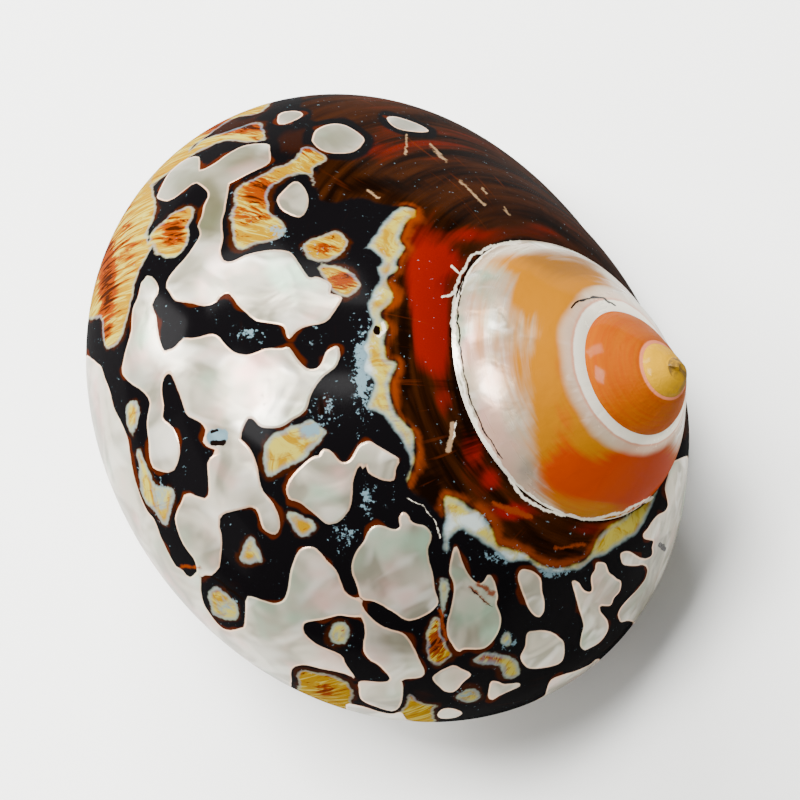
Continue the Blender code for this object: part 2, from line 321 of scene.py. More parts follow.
# The shell's markings. Polishing cuts through the black outer layer, then a thin brown one, into pearl, so
# each patch has a fine pink and brown edge. Outlines are picture points, laid on the shell along the view.
PEARLS = [
    [(157, 197), (160, 189), (168, 174), (176, 166), (186, 159), (198, 156), (200, 162), (200, 170),
     (208, 167), (218, 161), (226, 155), (240, 147), (252, 144), (268, 144), (270, 150), (270, 162),
     (260, 168.5), (251, 172.5), (233, 182), (229, 184), (228, 192), (225, 210), (222, 222), (223, 238),
     (220.5, 251), (222, 258), (226, 261.5), (233, 261), (246, 255), (263, 251), (275, 250), (290, 252),
     (298, 262), (306, 274), (310, 278), (318, 277), (331, 284), (330, 293), (337, 295), (342, 297),
     (340, 303), (332, 315), (328, 320), (320, 324), (304, 327), (295, 333), (291, 338), (287, 338),
     (285, 329), (280, 325), (263, 322), (255, 320), (244, 311), (238, 305), (234, 299), (228, 293),
     (221, 296), (215, 303), (203, 306), (191, 303), (176, 301), (170, 293), (166, 286), (171, 274),
     (186, 257), (197, 241), (200, 234), (197.5, 225), (201, 218), (204, 205), (208, 196), (206, 190),
     (196, 183), (190, 186), (176, 197), (169, 201), (161, 200)],
    [(144, 277), (150, 276), (155, 280), (158, 286), (158, 293), (152, 305), (156, 316), (158, 332),
     (162, 347), (167, 354), (176, 362), (168, 373), (163, 380), (162, 394), (164, 406), (163, 418),
     (170, 424.5), (175, 431), (179.5, 445), (179, 458), (174, 470), (168, 472.5), (160, 471),
     (153.5, 468.5), (149.5, 457), (149, 443), (146.7, 424), (148, 414), (150, 404), (147, 396), (140, 389),
     (133, 385), (126, 379), (122, 372), (122.5, 365), (127, 345), (131, 333), (132, 315), (134, 305),
     (138, 297), (141, 283)],
    [(164, 352), (174, 348), (183, 338), (191, 338), (200, 336.5), (210, 334), (217, 335.5), (228, 347),
     (236, 353), (247, 354.7), (257, 352), (265, 348.5), (282, 348), (289, 347), (296, 357), (302, 364),
     (309, 369), (317, 368), (322, 362), (326, 352), (332, 347.5), (338, 346), (340, 354), (338, 363),
     (334, 368.5), (325, 375), (317, 384), (311, 395), (307, 408), (301, 415), (292, 420), (281, 427),
     (268, 428), (260, 426), (250, 417.5), (244, 426), (241, 436), (240, 446), (232, 452), (222, 452),
     (206, 446), (203, 440), (206, 432), (202, 424), (194, 419), (187, 415), (183, 404), (178, 390),
     (173, 378), (166, 366)],
    [(222, 450), (210, 458), (207.5, 467), (208.5, 483), (208, 496), (200, 502), (212, 516), (220, 517),
     (226, 513), (243, 509), (250, 507), (256, 509), (259, 515), (261, 524), (264, 530), (270, 533.5),
     (275, 535), (279, 531), (280, 523), (277, 511), (272, 502), (266, 495), (261, 487), (258, 470),
     (254, 457), (250, 449), (246, 444), (238, 438), (228, 444)],
    [(186, 492.5), (181, 503), (176, 513), (175, 521), (178, 532), (184, 546), (194, 559), (197, 570),
     (200, 575.5), (207, 575), (212, 575), (220, 567), (220.5, 560), (222, 548), (221.5, 535), (219.5, 526),
     (220, 515), (214, 506), (205, 499), (196, 496)],
    [(60, 360), (96, 362), (105, 379), (110, 392), (114, 408), (122, 424), (128, 440), (131, 460),
     (136, 483), (146, 509), (154, 519), (161, 537), (167, 550), (175, 565), (182, 569.5), (188.5, 577),
     (195, 574), (200, 570), (201, 580), (201, 592), (204, 604), (210, 614), (216, 622), (223, 628.5),
     (231, 630), (240, 628), (244.5, 625), (245.5, 604), (245, 598), (250, 596), (262, 600), (273, 603),
     (280, 602), (285, 598), (288, 588), (290, 574), (294, 560), (300, 549.5), (306, 547), (313, 547),
     (319, 551), (328, 562), (336, 570), (341, 582), (344, 590), (350, 596), (358, 599), (362, 603),
     (360, 616), (352, 617), (341, 615.5), (334, 616.5), (320, 620), (307, 622), (303, 626), (305, 634),
     (311, 640), (320, 646), (341, 655), (345, 663), (352, 673), (357, 681), (350, 676), (340, 672.5),
     (322, 669), (312, 666.5), (303, 665), (294, 667), (291, 673), (291, 684), (280, 705), (160, 680),
     (60, 560)],
    [(320, 455), (321, 450), (327, 449), (333, 453), (340, 461), (347, 461.6), (352, 457), (358, 446),
     (365, 442), (370, 441), (378, 446), (388, 452), (397, 457), (400, 461), (396, 469), (394, 480),
     (386, 481), (376, 477), (368, 472), (366, 465), (362, 470), (360, 464), (356, 472), (353, 483),
     (352, 497), (350, 508), (341, 520), (333, 524), (325, 523), (312, 512), (300, 503), (290, 499.5),
     (286.5, 494), (286.5, 486), (292, 476), (301, 466), (312, 457)],
    [(403, 512), (408, 515), (411, 521), (417, 524), (425, 526), (431, 533), (431, 541), (427.7, 549),
     (429, 560), (433, 574), (435, 590), (438, 599), (437, 606), (426, 615), (412, 620.5), (403, 619),
     (391, 610.5), (375, 602), (364, 600), (360, 597), (357, 586), (352, 573), (352, 562), (357, 550),
     (364, 541), (368, 532), (374, 526), (382, 525.5), (391, 528.7), (397, 529), (400, 526), (399, 518)],
    [(352, 600), (360, 602), (365, 611), (373, 619.5), (382, 626), (391, 629.5), (399, 631.5), (406, 635.5),
     (413, 645.5), (419, 659), (424, 669), (424, 675), (418, 678), (404, 679.5), (396, 684), (390, 680),
     (388, 674.5), (377, 664), (369, 659.5), (364, 652), (363.5, 643), (365, 635), (364, 623), (358, 612)],
    [(360, 681), (359, 689), (361, 699), (370, 704.5), (388, 710.5), (396, 710), (401, 704), (403, 692),
     (402, 682), (396, 676), (388, 681), (378, 682)],
    [(455, 546), (459, 551), (462, 561), (467, 572), (472, 579), (479, 583.5), (484, 581), (488, 574.5),
     (492, 576.5), (496, 586), (498, 597), (496.5, 604), (501, 617), (500, 628), (495, 638), (488, 646),
     (480, 649.5), (464, 649.5), (459, 652), (453, 646), (447, 634), (447, 622), (451, 608), (453.5, 594),
     (453.5, 583), (450, 574), (450, 563)],
    [(525, 569), (534, 572), (541, 579), (542, 590), (544.5, 602), (544, 611), (540, 617), (535, 616),
     (529, 609), (524, 597), (519.5, 585), (518, 576), (520, 570.5)],
    [(572, 581), (579, 583), (583, 589), (588, 592), (592, 590), (591, 577), (595, 570), (596, 563),
     (601, 562), (606, 564), (609, 572), (616, 578), (621, 582), (620, 591), (614, 598), (611, 605),
     (605, 606), (600, 606), (601, 612), (607, 620), (608, 630), (600, 642), (590, 648), (584, 650),
     (580, 645), (582, 633), (583.5, 624), (579, 609), (575, 594)],
    [(527, 633), (534, 631), (542, 630.4), (551, 632), (559, 637), (564, 643), (564, 656), (560, 663),
     (549, 667), (536, 668.7), (528, 668), (522, 662), (520.5, 656), (525, 646)],
    [(452, 665.3), (460, 668), (467, 671.3), (471.5, 675), (463, 682.5), (457, 690), (451, 692.5),
     (443, 690), (432.5, 679), (437, 673)],
    [(491, 681.5), (498, 681.5), (504, 684), (518, 683), (520, 686), (512, 690), (499, 696), (492, 700),
     (488, 696), (489, 688)],
    [(437.5, 714.5), (441.5, 709.5), (449, 708), (457.5, 710), (462.5, 713), (457, 717), (448, 718.7),
     (440, 718)],
    [(312, 139), (315, 131), (321, 127), (330, 124), (340, 124), (350, 127.5), (364, 138), (361, 146),
     (355, 151), (347, 153.3), (333, 153.3), (321, 150), (314, 144)],
    [(280, 113.5), (289, 111), (299, 111.5), (303, 114.5), (298, 119), (284, 124.5), (278, 123),
     (277.5, 118)],
    [(387, 118), (395, 116.5), (413, 122), (424, 127), (428, 131.5), (416, 132), (400, 129.5), (391, 124.5)],
    [(295, 181), (301, 184), (306, 191), (308.5, 200), (306, 211), (301, 217), (293, 216), (281, 209),
     (276.8, 199.5), (281, 193), (287, 187)],
    [(621, 553), (629, 551), (637, 556), (645, 558.7), (652, 555), (652, 547), (653, 541), (645, 539),
     (643, 534.5), (648, 528), (653, 520), (658.5, 514.5), (665, 511), (668, 505), (666.7, 497), (665, 487),
     (668.7, 473), (671, 462), (720, 462), (720, 600), (660, 660), (640, 628), (629, 621), (621, 622),
     (618, 616), (620, 609), (627, 600), (636, 591), (644, 581), (647.3, 573), (646.7, 568), (642.7, 565),
     (634.7, 566), (624, 564.7), (621, 560)],
    [(545, 696), (549, 683), (554, 678), (565, 674), (577, 670.5), (590, 664.5), (600, 659), (625, 672),
     (560, 720), (540, 712)],
    [(346, 706), (356, 705), (368, 708), (380, 712), (392, 714), (400, 712), (404, 716), (410, 735),
     (350, 735)],
]
YELLOW_PATCHES = [
    [(191, 206), (194.5, 211), (193, 219), (189, 226), (190, 234), (187, 244), (179, 255), (171, 258),
     (160, 256), (152, 247), (149, 238), (152, 230), (163, 223), (168, 216), (177, 210.5)],
    [(155, 200), (156, 212), (150, 226), (147, 236), (150, 246), (145, 261), (137, 277), (132.5, 297),
     (126, 322), (119, 343), (108, 349), (103, 341), (99, 318), (70, 320), (85, 240), (120, 190), (148, 180)],
    [(236, 189), (248, 181), (262, 175), (275, 167), (284, 165), (290, 162), (296, 155), (304, 146.5),
     (313, 148.5), (320, 152.5), (327, 158), (322, 163), (314, 167), (314, 176), (317, 186), (312, 184),
     (308, 175.5), (299, 174), (288, 177), (278, 183), (269, 191), (268, 202), (272, 214), (280, 220),
     (286, 228), (282, 237), (268, 241.5), (255, 245), (240, 249.5), (233, 244), (232, 228), (229.5, 218),
     (234, 205)],
    [(303, 252), (303, 244), (314, 238), (325, 235), (336, 230), (342, 234), (348, 241), (345, 251),
     (337, 257), (329, 261), (318, 261.5), (309, 258)],
    [(318, 268), (330, 265), (344, 268), (356, 276), (361, 286), (353, 293), (343, 297), (332, 290)],
    [(190, 150), (200, 141), (222, 133), (240, 127), (258, 122), (264, 130), (264, 140), (245, 142),
     (225, 141), (207, 148), (196, 153), (170, 172), (150, 180), (190, 100), (270, 90), (262, 112),
     (230, 120)],
    [(298, 683), (297, 674), (303, 669.5), (311, 671), (331, 675.5), (341, 678.5), (348, 684), (353, 691),
     (354, 697), (351, 702), (350, 720), (300, 712)],
    [(410, 694), (416, 699), (424, 704), (438, 705), (434, 711), (434, 735), (404, 735), (396, 715),
     (403, 709), (406, 701)],
    [(434, 619), (440, 619), (441, 632), (446, 643), (452, 653), (448, 660), (438, 666), (430, 663),
     (426, 655), (427, 645), (426, 634), (430, 624)],
]
PALE_PATCHES = [
    [(208.5, 591), (214, 587), (221, 588), (232, 598.5), (238, 607), (238, 616), (234, 620.5), (226, 620),
     (212, 613), (210, 604)],
    [(136, 452), (140, 450), (144, 460), (150, 471), (153, 481), (160, 486), (168, 485.5), (174, 491),
     (173, 503), (170, 516), (168, 524), (163.5, 525), (155, 513), (146, 502), (140, 490), (139, 470)],
    [(128, 403), (134, 400), (139, 404), (139.5, 414), (137, 426), (135, 437), (129, 430), (126, 416)],
    [(263, 462), (265, 446), (269, 437), (281, 430), (299, 424), (312, 420), (322, 428), (326, 434),
     (316, 446), (300, 462), (284, 469), (275, 475), (268, 478), (264, 470)],
    [(286.5, 514), (293, 511.5), (303, 517), (312, 519.5), (317, 526), (314, 532), (306, 537), (299, 535),
     (292, 528)],
    [(241, 552), (245, 541), (251, 536), (256, 545), (262, 560), (253, 563.5), (242, 563)],
    [(473, 660), (480, 654), (488, 651), (497, 652), (505, 655.5), (512, 656), (517, 662), (520, 671),
     (517, 677), (510, 679), (502, 676), (500, 667), (488, 664), (477, 663)],
    [(500, 641), (506, 633), (511, 636), (511, 643), (505, 647)],
    [(456, 697), (462, 692), (470, 688), (478, 691), (481, 697), (474, 701.5), (464, 702)],
    [(439, 580), (446, 580), (450, 586), (449, 593), (445, 603), (443, 617), (441, 605), (439.5, 592)],
    [(328, 634), (332, 625), (340, 622), (348, 625), (350, 634), (346, 643), (338, 645), (331, 642)],
]
CREAM_BAND = [
    [(404, 206), (415, 210), (416, 217), (407, 221), (403, 230), (400.5, 240), (406, 248), (400, 256),
     (396.5, 263), (398, 270), (387, 280), (392, 290), (392.5, 300), (387, 307), (380.5, 312), (381, 318),
     (386.5, 323), (388.5, 328), (385, 337), (384.5, 346), (387, 359), (396, 361), (397.5, 365), (393, 374),
     (389.5, 383), (390.5, 394), (393, 405), (397, 414), (405, 423), (413.5, 432), (414.5, 445), (415, 458),
     (412, 470), (408, 481), (406, 479), (409.5, 468), (409, 457), (405.5, 449), (401, 439), (394, 430),
     (384, 417), (376, 412), (367, 409), (368.5, 400), (373, 390), (373, 381), (366, 374), (362, 368),
     (366, 356), (362, 348), (366, 338), (369, 330), (372.5, 324), (370, 316), (367, 307), (370, 297),
     (376, 287), (380, 279), (377.5, 268), (383, 262), (378, 255), (370, 249), (362, 249), (369, 243),
     (376, 234), (381, 225), (389, 216), (395, 210.5)],
    [(444, 497), (449, 496), (462, 501), (470, 508.5), (478, 511.5), (485, 518.5), (491, 526), (494.5, 534),
     (497, 544.5), (505, 546), (513, 549), (521, 551), (529, 556), (544, 566), (553, 568.7), (563, 568),
     (572, 564.5), (582, 561.5), (590, 555), (595, 543), (600, 534), (607, 527), (613, 522.5), (621, 519),
     (632, 506), (643, 499), (652, 491), (659, 479), (657, 493), (648, 514.5), (638, 532.5), (630, 538.5),
     (614, 549), (605, 555), (592, 559.5), (582, 568.5), (568, 571.5), (549, 573.3), (539, 568.5),
     (528, 562), (517, 561), (509, 562), (497, 552), (480, 541), (467, 533), (461.5, 529), (456, 531.5),
     (451, 538), (447, 553), (444, 549), (442, 529), (444.5, 520), (443.5, 507)],
]
AMBER_FIELD = [
    [(416, 208), (407, 221), (403, 231), (400, 240), (405, 248), (400, 257), (397, 270), (387, 281),
     (392, 300), (381, 313), (387, 324), (385, 345), (387, 359), (397, 363), (390, 384), (391, 396),
     (397, 414), (414, 433), (415, 458), (409, 478), (408, 490), (424, 500), (438, 512), (444, 518),
     (444, 498), (449, 496), (462, 501), (478, 511), (491, 526), (497, 544), (513, 549), (529, 556),
     (544, 566), (563, 568), (582, 561), (592, 552), (600, 534), (621, 519), (632, 506), (652, 491),
     (672, 455), (720, 380), (700, 250), (620, 215), (560, 150), (430, 80), (318, 80), (300, 112),
     (318, 122), (345, 118), (364, 132), (368, 142), (356, 155), (330, 157), (316, 172), (318, 196),
     (332, 204), (360, 198), (384, 206), (396, 206)],
]


def smooth_outline(outline, fill=4):
    """A closed curve through the points: between two of them a cubic whose slopes follow their neighbours."""
    points = np.array(outline, float)
    before, after, beyond = np.roll(points, 1, 0), np.roll(points, -1, 0), np.roll(points, -2, 0)
    share = (np.arange(fill) / fill)[None, :, None]
    points, before, after, beyond = (part[:, None] for part in (points, before, after, beyond))
    first = (after - before) * 0.5
    last = (beyond - points) * 0.5
    curve = points + first * share + (3 * (after - points) - 2 * first - last) * share**2
    return (curve + (2 * (points - after) + first + last) * share**3).reshape(-1, 2)


def inside_by(outlines, spot, slope, reach=26.0):
    """Millimetres inside the outlines, negative outside: picture distance, signed by crossings, times scale.

    The surface is seen aslant, so the scale, which slope gives, depends on the way to the nearest edge.
    """
    field = np.full(len(spot), -reach)
    aim = np.zeros((len(spot), 2))
    for outline in outlines:
        curve = smooth_outline(outline)
        low, high = curve.min(axis=0) - reach, curve.max(axis=0) + reach
        near = np.where(np.all((spot > low) & (spot < high), axis=1))[0]
        for part in np.array_split(near, max(1, len(near) // 4000)):
            here = spot[part][:, None]
            start, step = curve[None], np.roll(curve, -1, 0)[None] - curve[None]
            along = np.clip(((here - start) * step).sum(-1) / (step**2).sum(-1), 0, 1)
            gap = here - (start + along[..., None] * step)
            length = np.hypot(gap[..., 0], gap[..., 1])
            best = length.argmin(axis=1)
            distance = length[np.arange(len(part)), best]
            over = (start[..., 1] > here[..., 1]) != (start[..., 1] + step[..., 1] > here[..., 1])
            rise = np.where(step[..., 1] == 0, 1e-9, step[..., 1])
            meets = start[..., 0] + step[..., 0] * (here[..., 1] - start[..., 1]) / rise
            crossing = over & (here[..., 0] < meets)
            signed = np.where(crossing.sum(axis=1) % 2 == 1, distance, -distance)
            better = signed > field[part]
            field[part[better]] = np.minimum(signed, reach)[better]
            direction = gap[np.arange(len(part)), best] / np.maximum(distance, 1e-6)[:, None]
            aim[part[better]] = direction[better]
    return field * slope(aim)


def surface_slope(normal, depth):
    """Gives a function for the millimetres per picture point in a direction of the picture."""

    def slope(aim):
        """Depth over focus, over the root of 1 - (normal times direction) squared, as seen aslant."""
        direction = aim[:, :1] * CAMERA_AXES[:, 0] - aim[:, 1:] * CAMERA_AXES[:, 1]
        kept = np.sqrt(np.clip(1 - (direction * normal).sum(axis=1) ** 2, 0.09, 1))
        return 1000 * depth / FOCUS / kept

    return slope


def soft_spots(spots, spot):
    """The sum of listed tints: strength times e^-(offset over size) squared, at each picture point."""
    total = np.zeros(len(spot))
    for across, down, wide, high, strength in spots:
        total += strength * np.exp(-(((spot[:, 0] - across) / wide) ** 2) - ((spot[:, 1] - down) / high) ** 2)
    return total


# Soft tints: most are the layers' own colours, but the dull olive ones are painted shade on the pearl and the
# rose and green ones are painted sheen. A picture point across and down, a width and height, and a strength.
GLOWS = {
    "red_glow": [
        (472, 446, 14, 26, 1.1), (490, 480, 10, 12, 0.8), (420, 275, 20, 48, 1.0), (425, 340, 15, 34, 0.8),
        (446, 262, 16, 14, 0.8), (440, 330, 8, 50, 0.9), (385, 120, 22, 10, 0.35), (370, 150, 24, 12, 0.3),
        (512, 512, 20, 8, 1.0), (440, 145, 60, 16, 0.2), (470, 235, 30, 8, 0.5), (448, 395, 12, 24, 0.5),
        (590, 530, 22, 7, 0.4), (545, 225, 30, 14, 0.3),
    ],
    "dark_glow": [
        (440, 118, 90, 8, 0.7), (540, 212, 40, 12, 0.5), (404, 350, 8, 70, 1.0), (430, 490, 18, 34, 1.0),
        (380, 185, 60, 12, 0.9), (445, 385, 30, 12, 0.5), (470, 430, 20, 40, 0.8), (540, 542, 50, 8, 0.5),
        (510, 180, 40, 20, 0.4), (345, 215, 22, 14, 0.9),
    ],
    # Painted shade: darker olive-grey pearl, mostly along the top and the bottom of the shell.
    "olive_shade_glow": [
        (205, 200, 26, 34, 0.8), (222, 150, 30, 16, 0.7), (340, 137, 30, 16, 1.0), (292, 115, 20, 10, 1.0),
        (405, 123, 24, 10, 1.0), (240, 155, 36, 14, 0.6), (205, 220, 18, 30, 0.6), (182, 180, 20, 16, 0.7),
        (295, 199, 16, 18, 0.4), (470, 620, 26, 40, 0.3), (395, 650, 30, 24, 0.4), (545, 650, 24, 20, 0.2),
        (600, 600, 30, 40, 0.4), (450, 678, 22, 14, 0.4), (645, 600, 22, 50, 0.6),
    ],
    "amber_glow": [
        (478, 320, 12, 42, 0.5), (575, 275, 40, 20, 0.7), (564, 345, 26, 60, 1.1), (564, 405, 28, 50, 1.1),
        (582, 448, 32, 40, 1.1), (530, 292, 18, 26, 0.7), (604, 474, 44, 34, 1.1), (650, 475, 40, 40, 1.1),
        (605, 500, 44, 16, 1.0), (515, 262, 40, 10, 0.6), (518, 350, 18, 60, 0.45), (580, 300, 18, 18, 0.4),
    ],
    "orange_glow": [
        (606, 484, 50, 24, 1.1), (650, 470, 36, 40, 1.1), (568, 470, 26, 22, 0.8), (566, 425, 14, 34, 0.5),
        (560, 350, 12, 50, 0.2),
    ],
    # Painted sheen: rose tints fixed on the pearl in place of its iridescence.
    "rose_sheen_glow": [
        (472, 330, 14, 50, 1.0), (490, 420, 12, 30, 0.9), (500, 470, 18, 24, 0.8), (530, 300, 30, 12, 0.3),
        (250, 160, 30, 12, 0.4), (255, 360, 40, 16, 0.5), (390, 560, 18, 20, 0.6), (300, 590, 30, 20, 0.4),
    ],
    # Painted sheen: green tints fixed on the pearl in place of its iridescence.
    "green_sheen_glow": [
        (560, 275, 40, 22, 1.0), (500, 268, 20, 10, 0.5), (285, 275, 30, 12, 0.5), (330, 490, 22, 14, 0.6),
        (140, 340, 10, 40, 0.7), (300, 620, 30, 20, 0.5), (480, 620, 16, 20, 0.5), (330, 135, 20, 8, 0.5),
    ],
    "blue_glow": [
        (362, 370, 10, 45, 1.0), (278, 232, 12, 8, 0.8), (310, 430, 14, 9, 1.0), (160, 495, 10, 24, 0.6),
        (225, 605, 12, 12, 0.7), (472, 522, 16, 9, 1.2), (505, 556, 24, 6, 0.9), (550, 572, 24, 6, 0.9),
        (448, 530, 5, 22, 0.7), (300, 250, 24, 8, 0.3), (217, 438, 16, 12, 0.8), (367, 500, 7, 18, 0.8),
        (344, 537, 13, 12, 0.6), (247, 334, 16, 7, 0.7), (378, 296, 9, 8, 0.6), (325, 405, 14, 18, 0.5),
        (507, 642, 8, 10, 0.7), (340, 634, 12, 12, 0.5), (466, 695, 12, 7, 0.5), (665, 523, 7, 9, 0.6),
        (444, 605, 6, 16, 0.5), (312, 343, 5, 4, 0.7), (250, 548, 9, 10, 0.4),
    ],
    "rust_glow": [
        (575, 266, 40, 16, 1.0), (540, 256, 30, 9, 0.7), (470, 300, 8, 40, 0.4), (344, 280, 14, 9, 1.3),
        (172, 232, 14, 15, 1.2), (107, 280, 9, 50, 1.8), (128, 240, 10, 40, 0.7), (300, 142, 26, 12, 1.6),
        (225, 126, 40, 9, 1.6), (262, 190, 22, 14, 1.3), (250, 216, 22, 8, 0.9), (325, 691, 10, 7, 1.2),
        (326, 248, 12, 6, 1.2), (436, 640, 10, 20, 1.3), (488, 658, 12, 8, 1.1), (425, 692, 18, 12, 0.8),
        (325, 405, 9, 14, 1.0), (225, 586, 16, 8, 0.6), (320, 280, 14, 6, 0.4), (408, 232, 8, 20, 0.5),
        (388, 350, 5, 40, 0.5), (398, 420, 8, 20, 0.4),
    ],
}

# Chips, scratches, the suture's crumbled edge, and painted shade along the suture: half a width, then the
# picture points of the stroke.
PALE_STROKES = [
    (1.4, [(520, 242), (490, 246), (472, 256), (461, 274), (455, 293), (453, 322), (457, 358), (465, 395),
           (479, 432), (498, 461), (523, 497), (549, 512), (586, 520), (622, 513), (652, 498)]),
    (1.4, [(443, 297), (454, 293)]), (1.0, [(451, 267), (460, 275)]),
    (0.2, [(406, 498), (423, 507), (436, 523), (440, 538)]), (1.6, [(378, 336), (385, 330), (383, 323)]),
    (0.3, [(457, 422), (452, 440)]),
]
TAN_STROKES = [
    (0.7, [(407, 135), (405, 155)]), (0.9, [(430, 145), (446, 161)]), (1.0, [(367, 190), (379, 198)]),
    (0.9, [(460, 181), (485, 205)]), (0.9, [(482, 188), (486, 194)]), (0.7, [(504, 208), (509, 215)]),
    (2.4, [(453, 424), (449, 450)]),
]
RUST_STROKES = [
    (1.2, [(470, 587), (488, 603)]), (2.4, [(478, 584), (494, 594)]), (2.4, [(494, 503), (530, 517)]),
    (1.4, [(556, 548), (584, 545)]), (1.4, [(182, 566), (200, 568)]), (1.6, [(440, 610), (446, 640)]),
]
BLUE_STROKES = [
    (8.5, [(215, 437), (220, 436)]),
]
DARK_AND_SHADE_STROKES = [
    # The first dark stroke runs along the suture: a crack darkened with painted shade where the whorl above
    # overhangs it.
    (0.8, [(473, 260), (465, 276), (459.5, 294), (457.5, 322), (461, 357), (469, 394), (483, 430),
           (502, 459)]),
    (0.4, [(470, 588), (492, 607)]), (3.0, [(214, 443), (223, 442)]), (1.6, [(212, 432), (217, 430)]),
    (4.2, [(377, 329), (377, 331)]), (1.1, [(572, 307), (579, 300), (592, 297), (604, 299), (614, 306)]),
    (2.5, [(660, 545), (664, 548)]), (2.2, [(321, 398), (322, 412)]), (1.2, [(213, 577), (243, 600)]),
]

count = len(shell_mesh.vertices)
points = np.empty(count * 3)
shell_mesh.vertices.foreach_get("co", points)
points = points.reshape(-1, 3)
normals = np.empty(count * 3)
shell_mesh.vertices.foreach_get("normal", normals)
normals = normals.reshape(-1, 3)
spots, depth = in_picture(points)
towards = CAMERA_PLACE - points
facing = (normals * towards).sum(axis=1) / np.linalg.norm(towards, axis=1)
shown = np.where(facing > -0.25)[0]


def keep_field(name, values, rest):
    """Stores a value per point for the material, and the rest value where the photograph can't see."""
    field = np.full(count, rest, np.float32)
    field[shown] = values
    shell_mesh.attributes.new(name, "FLOAT", "POINT").data.foreach_set("value", field)


FAR_OUTSIDE = -3
shown_spots = spots[shown]
shown_slope = surface_slope(normals[shown], depth[shown])
for name, outlines in [("pearl", PEARLS), ("yellow_patch", YELLOW_PATCHES), ("pale_patch", PALE_PATCHES),
                       ("cream_band", CREAM_BAND), ("amber_field", AMBER_FIELD)]:
    keep_field(name, inside_by(outlines, shown_spots, shown_slope), FAR_OUTSIDE)
picture_place = shell_mesh.attributes.new("picture_place", "FLOAT_VECTOR", "POINT")
picture_place.data.foreach_set("vector", np.pad(spots, ((0, 0), (0, 1))).astype(np.float32).ravel())
for name, glows in GLOWS.items():
    keep_field(name, soft_spots(glows, shown_spots), 0)
keep_field("seen", np.clip((facing[shown] + 0.12) / 0.26, 0, 1), 0)

place = np.empty(len(shell_mesh.loops) * 2)
shell_mesh.uv_layers["growth"].data.foreach_get("uv", place)
place = place.reshape(-1, 2)


def keep_corner_field(name, values):
    """Stores a value per face corner, since turn and side jump where one whorl meets the next."""
    attribute = shell_mesh.attributes.new(name, "FLOAT", "CORNER")
    attribute.data.foreach_set("value", np.asarray(values, np.float32))


size = np.exp(GROWTH * np.clip(place[:, 0], -40, 1))
keep_corner_field("turn", place[:, 0])
keep_corner_field("side", place[:, 1])
keep_corner_field("whorl_size", size)


# The shell's finish, in the order of its layers: black, the brown next to the spire, cream, pearl, and the
# spire's stains. Each is a colour laid over the one before, with a ragged edge, where its field on the mesh
# says. Polished pearl has a soft metallic sheen, and the layers over it are glossy.
def tone(red, green, blue):
    """A screen colour, 0 to 255, as the light it gives: ((c + 0.055) / 1.055) to the power 2.4."""
    parts = [channel / 255 for channel in (red, green, blue)]
    return (*[part / 12.92 if part < 0.04045 else ((part + 0.055) / 1.055) ** 2.4 for part in parts], 1.0)


class Amount:
    """A number that varies over the surface. Sums of amounts become Math nodes."""

    def __init__(self, finish, socket):
        """Keeps the finish that it belongs to and the socket that gives it."""
        self.finish, self.socket = finish, socket

    def join(self, operation, first, second):
        """A Math node on two amounts or numbers."""
        return self.finish.node("ShaderNodeMath", {"operation": operation}, {0: first, 1: second})

    def __add__(self, other):
        """This and another, summed."""
        return self.join("ADD", self, other)

    def __sub__(self, other):
        """This less another."""
        return self.join("SUBTRACT", self, other)

    def __rsub__(self, other):
        """A number less this."""
        return self.join("SUBTRACT", other, self)

    def __mul__(self, other):
        """This times another."""
        return self.join("MULTIPLY", self, other)

    __radd__, __rmul__ = __add__, __mul__


class Finish:
    """A material in the making: every node comes from its node method."""

    def __init__(self, name):
        """An empty material of that name."""
        self.material = bpy.data.materials.new(name)
        self.material.use_nodes = True
        self.tree = self.material.node_tree
        self.tree.nodes.clear()

    def node(self, kind, settings=None, sockets=None, output=0):
        """Adds a node, makes its settings, then fills its sockets by name or number, and gives one output."""
        made = self.tree.nodes.new(kind)
        for name, value in (settings or {}).items():
            setattr(made, name, value)
        for key, value in (sockets or {}).items():
            if isinstance(value, Amount):
                self.tree.links.new(value.socket, made.inputs[key])
            else:
                made.inputs[key].default_value = value
        return Amount(self, made.outputs[output]) if len(made.outputs) else None

    def field(self, name):
        """A value kept on the mesh."""
        return self.node("ShaderNodeAttribute", {"attribute_name": name}, output=2)

    def rise(self, amount, low, high):
        """0 below low, 1 above high, and a smooth step between."""
        sockets = {"Value": amount, "From Min": low, "From Max": high}
        return self.node("ShaderNodeMapRange", {"interpolation_type": "SMOOTHSTEP"}, sockets)

    def blend(self, share, first, second):
        """From the first colour to the second by share."""
        return self.node("ShaderNodeMix", {"data_type": "RGBA"}, {0: share, 6: first, 7: second}, output=2)

    def noise(self, place, scale, detail=2.0, roughness=0.5, stretch=0.0):
        """Cloudy noise, 0 to 1, with its grain about 1 over scale metres."""
        sockets = {"Vector": place, "Scale": scale, "Detail": detail}
        sockets |= {"Roughness": roughness, "Distortion": stretch}
        return self.node("ShaderNodeTexNoise", {}, sockets)

    def vector_maths(self, operation, sockets, output=0):
        """A sum, scale, product or distance of vectors."""
        return self.node("ShaderNodeVectorMath", {"operation": operation}, sockets, output)

    def strokes(self, spot, strokes, ragged, softness):
        """A share, 1 on drawn lines: half width less the distance to the nearest part, plus raggedness."""
        nearest = None
        for half_width, line in strokes:
            for start, end in zip(line[:-1], line[1:]):
                step = (end[0] - start[0], end[1] - start[1], 0)
                per_length = [part / (step[0] ** 2 + step[1] ** 2) for part in step]
                offset = self.vector_maths("SUBTRACT", {0: spot, 1: (*start, 0)})
                along = self.vector_maths("DOT_PRODUCT", {0: offset, 1: per_length}, 1)
                along = self.node("ShaderNodeClamp", {}, {0: along})
                foot = self.vector_maths("SCALE", {0: step, "Scale": along})
                gap = self.vector_maths("DISTANCE", {0: offset, 1: foot}, 1)
                depth = half_width - gap
                nearest = depth if nearest is None else self.greater(nearest, depth)
        return self.rise(nearest + ragged, -softness, softness)

    def greater(self, first, second):
        """The greater of two amounts."""
        return first.join("MAXIMUM", first, second)


